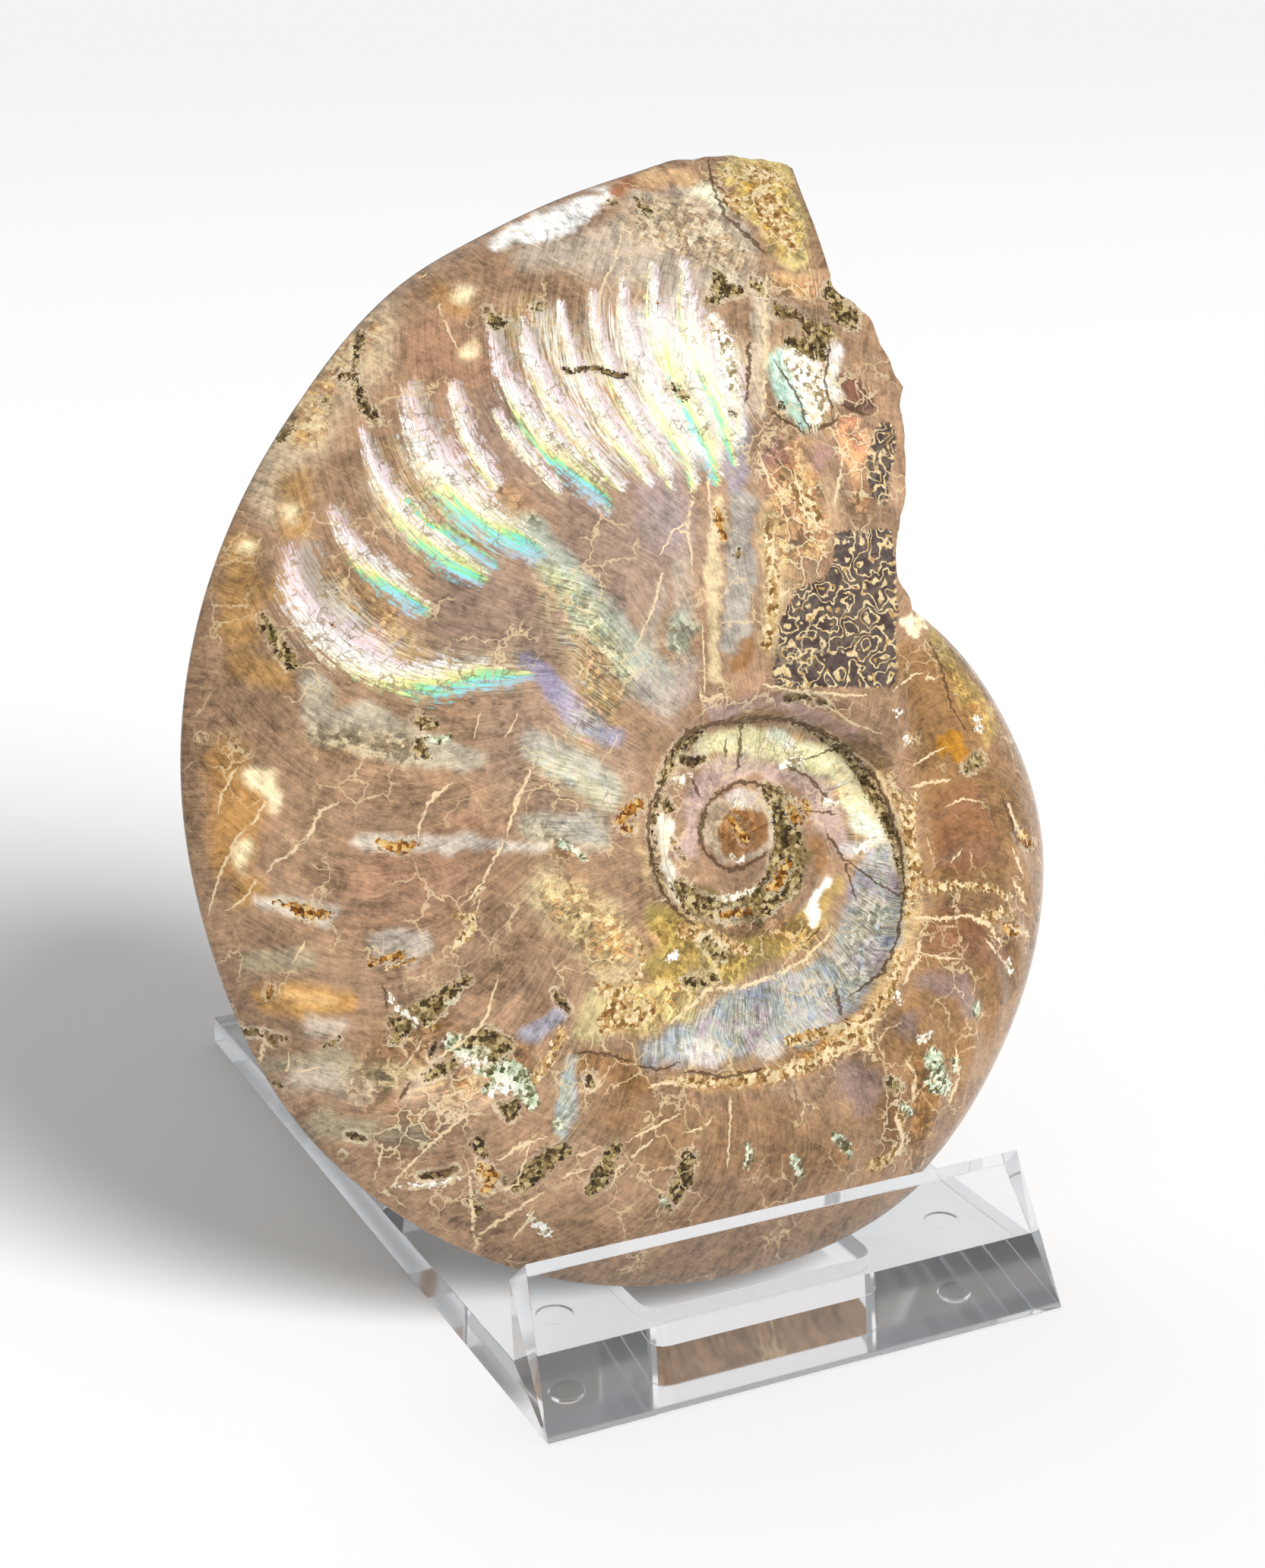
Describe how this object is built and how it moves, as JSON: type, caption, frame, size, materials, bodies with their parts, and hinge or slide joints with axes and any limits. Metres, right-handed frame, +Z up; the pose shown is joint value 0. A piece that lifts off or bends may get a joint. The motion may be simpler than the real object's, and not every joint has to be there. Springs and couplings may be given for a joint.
{
  "type": "ammonite fossil on stand",
  "caption": "Polished cleoniceras ammonite with falcate ribs and a broken aperture, leaning on a small clear moulded display stand.",
  "frame": {"origin": "centre of the display stand's underside", "axes": "+X to the viewer's right, +Y from the stand's lip to its rear, +Z up; the fossil faces -Y and leans back 23 degrees"},
  "size_m": [0.0813, 0.08, 0.0936],
  "materials": {
    "ammonite_shell": "polished",
    "clear_plastic": "gloss"
  },
  "bodies": {
    "root": {"ammonite": "ammonite_shell", "display_stand": "clear_plastic"}
  },
  "joints": []
}
